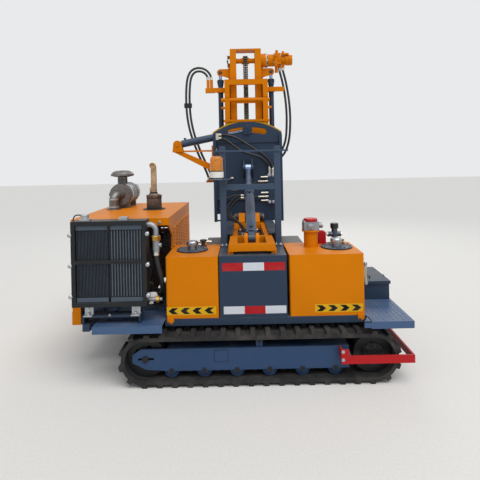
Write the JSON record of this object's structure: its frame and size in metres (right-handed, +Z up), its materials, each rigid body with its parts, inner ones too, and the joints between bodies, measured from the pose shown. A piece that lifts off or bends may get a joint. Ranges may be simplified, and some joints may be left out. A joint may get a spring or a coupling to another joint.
{
  "type": "pile driver rig",
  "caption": "Compact pile driver rig on rubber tracks: a swinging, tilting and sliding mast with a chain-fed hammer, between a fuel tank with an open-front engine and an oil tank.",
  "frame": {"origin": "on the ground, below the middle of the machine's overall length and width", "axes": "+X to the right as seen from the tank side, along the tracks; +Y from the tanks towards the hammer; +Z up"},
  "size_m": [2.48, 2.2, 2.756],
  "materials": {
    "orange_paint": "gloss",
    "slate_paint": "satin",
    "steel_blue_paint": "satin",
    "step_paint": "satin",
    "red_paint": "gloss",
    "black_paint": "satin",
    "track_rubber": "matte",
    "hose_rubber": "satin",
    "chain_steel": "oiled",
    "bright_metal": "polished",
    "cast_metal": "cast",
    "engine_iron": "matte",
    "radiator_fins": "matte",
    "galvanised": "dull",
    "fitting_steel": "plated",
    "chrome_rod": "polished",
    "white_plastic": "gloss",
    "amber_plastic": "clear"
  },
  "bodies": {
    "chassis": {"deck_frame": "slate_paint", "track_frames": "slate_paint", "track_near": "track_rubber", "track_far": "track_rubber", "track_wheels": "black_paint", "end_guard": "red_paint", "steps": "step_paint", "slide_housing": "slate_paint", "slide_guides": "slate_paint", "fuel_tank": "orange_paint", "oil_tank": "orange_paint", "tank_hatches": "slate_paint", "filler_caps": "bright_metal", "return_filter": "cast_metal", "filter_cap": "red_paint", "level_gauge": "fitting_steel", "valve_block": "red_paint", "engine_hood": "orange_paint", "hood_grille": "black_paint", "engine_block": "engine_iron", "radiator_frame": "black_paint", "radiator_core": "radiator_fins", "radiator_stand": "slate_paint", "radiator_brackets": "galvanised", "radiator_pipes": "cast_metal", "cooler_hose": "hose_rubber", "air_cleaner": "black_paint", "muffler": "black_paint", "toolbox": "slate_paint", "portal_frame": "steel_blue_paint", "beacon_base": "white_plastic", "beacon_dome": "amber_plastic", "valve_covers": "black_paint", "control_valves": "cast_metal"},
    "lid": {"toolbox_lid": "slate_paint"},
    "slide": {"slide_frame": "orange_paint"},
    "tilt": {"back_plate": "slate_paint", "swing_bracket": "orange_paint", "hose_fittings": "fitting_steel", "plate_hose_1": "hose_rubber", "plate_hose_2": "hose_rubber"},
    "tilt_tube": {"tilt_barrel": "steel_blue_paint"},
    "tilt_piston": {"tilt_rod": "chrome_rod"},
    "swing": {"mast_guide": "orange_paint", "lift_barrels": "slate_paint", "loop_hose_1": "hose_rubber", "loop_hose_2": "hose_rubber"},
    "swing_tube": {"swing_barrel": "steel_blue_paint"},
    "swing_piston": {"swing_rod": "chrome_rod"},
    "mast": {"mast": "orange_paint", "lift_rods": "chrome_rod", "drive_motor": "orange_paint", "head_sprocket": "orange_paint", "mast_chain": "chain_steel", "motor_hose_1": "hose_rubber", "motor_hose_2": "hose_rubber"},
    "hammer": {"hammer_carriage": "slate_paint", "hammer": "orange_paint", "drive_cap": "steel_blue_paint"}
  },
  "joints": [
    {"name": "mast_outreach", "type": "slide", "parent": "chassis", "child": "slide", "axis": [0, 1, 0], "range_m": [0, 0.4]},
    {"name": "mast_tilt", "type": "hinge", "parent": "slide", "child": "tilt", "pos_m": [0.14, 0.215, 1.011], "axis": [1, 0, 0], "range_deg": [-5, 10]},
    {"name": "mast_swing", "type": "hinge", "parent": "tilt", "child": "swing", "pos_m": [0.14, 0.282, 1.083], "axis": [0, 1, 0], "range_deg": [-12, 12]},
    {"name": "mast_lift", "type": "slide", "parent": "swing", "child": "mast", "axis": [0, 0, 1], "range_m": [0, 0.6]},
    {"name": "hammer_travel", "type": "slide", "parent": "mast", "child": "hammer", "axis": [0, 0, 1], "range_m": [-0.3, 0.55]},
    {"name": "toolbox_lid", "type": "hinge", "parent": "chassis", "child": "lid", "pos_m": [0.958, -0.4265, 0.59], "axis": [0, -1, 0], "range_deg": [0, 85]},
    {"name": "tilt_cylinder_pivot", "type": "hinge", "parent": "slide", "child": "tilt_tube", "pos_m": [0.14, -0.785, 0.98], "axis": [1, 0, 0], "range_deg": [-1.5, 2.5]},
    {"name": "tilt_cylinder_stroke", "type": "slide", "parent": "tilt_tube", "child": "tilt_piston", "axis": [0, 0.8772, 0.4801], "range_m": [-0.09, 0.05]},
    {"name": "swing_cylinder_pivot", "type": "hinge", "parent": "tilt", "child": "swing_tube", "pos_m": [-0.574, 0.327, 1.749], "axis": [0, 1, 0], "range_deg": [-3, 3]},
    {"name": "swing_cylinder_stroke", "type": "slide", "parent": "swing_tube", "child": "swing_piston", "axis": [0.9828, 0, 0.1845], "range_m": [-0.175, 0.175]}
  ],
  "couplings": [
    {"joint": "tilt_cylinder_pivot", "follows": "mast_tilt", "ratio": 0.1763},
    {"joint": "tilt_cylinder_stroke", "follows": "mast_tilt", "m_per_rad": -0.453},
    {"joint": "swing_cylinder_pivot", "follows": "mast_swing", "ratio": 0.203},
    {"joint": "swing_cylinder_stroke", "follows": "mast_swing", "m_per_rad": 0.786}
  ]
}
